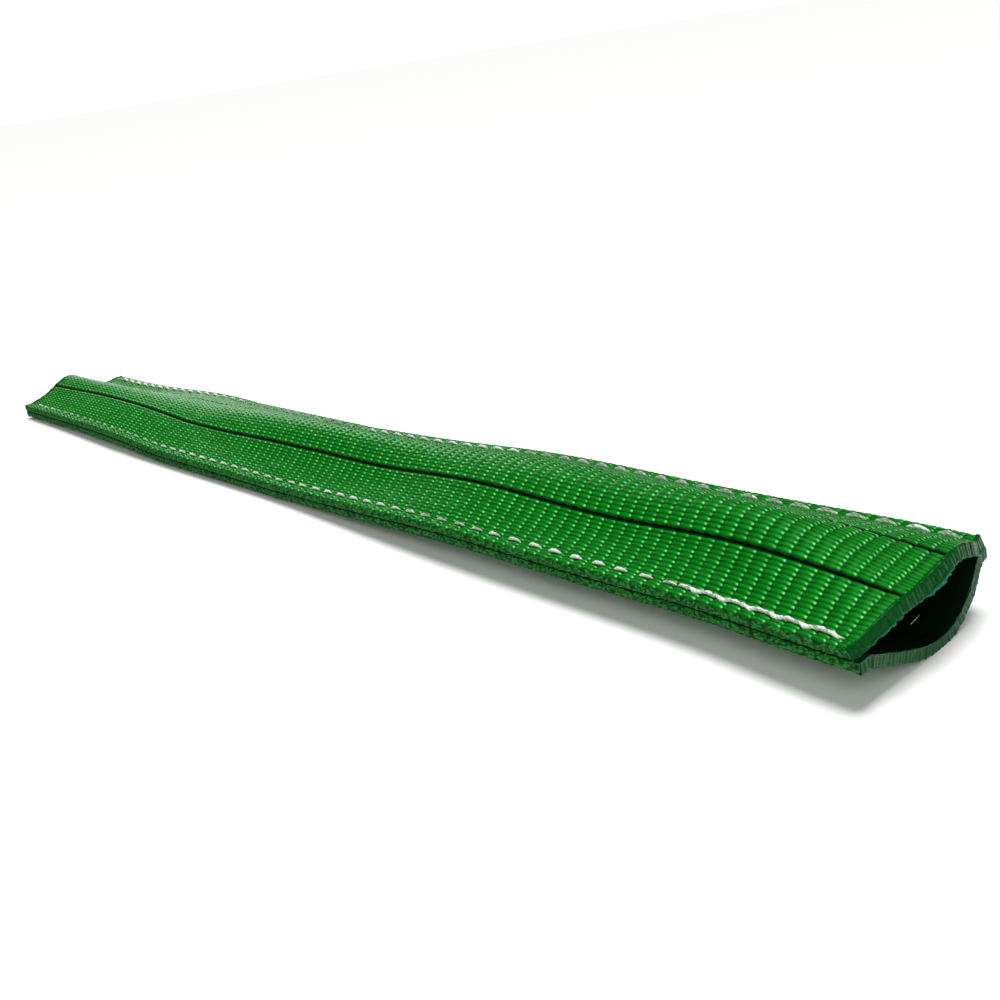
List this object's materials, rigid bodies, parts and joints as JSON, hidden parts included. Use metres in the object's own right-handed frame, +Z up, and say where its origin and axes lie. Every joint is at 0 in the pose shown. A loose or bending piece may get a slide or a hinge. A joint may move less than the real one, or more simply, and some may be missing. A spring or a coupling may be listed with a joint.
{
  "type": "sling wear sleeve",
  "caption": "Flat fabric tube of two webbing strips sewn together along both long edges and open at both ends, pushed over a flat web sling to protect it from wear and sharp edges.",
  "frame": {"origin": "on the ground under the middle of the sleeve", "axes": "+X along the sleeve towards its open end, +Y across it towards the back seam, +Z up"},
  "size_m": [0.5, 0.0586, 0.0292],
  "materials": {
    "green_webbing": "woven polyester, slightly shiny",
    "black_marker_yarn": "woven polyester",
    "seam_thread": "twisted polyester thread"
  },
  "bodies": {
    "root": {"upper_web": "green_webbing", "lower_web": "green_webbing", "upper_front_marker_yarn": "black_marker_yarn", "upper_back_marker_yarn": "black_marker_yarn", "lower_front_marker_yarn": "black_marker_yarn", "lower_back_marker_yarn": "black_marker_yarn", "front_seam_needle_thread": "seam_thread", "front_seam_bobbin_thread": "seam_thread", "back_seam_needle_thread": "seam_thread", "back_seam_bobbin_thread": "seam_thread"}
  },
  "joints": []
}
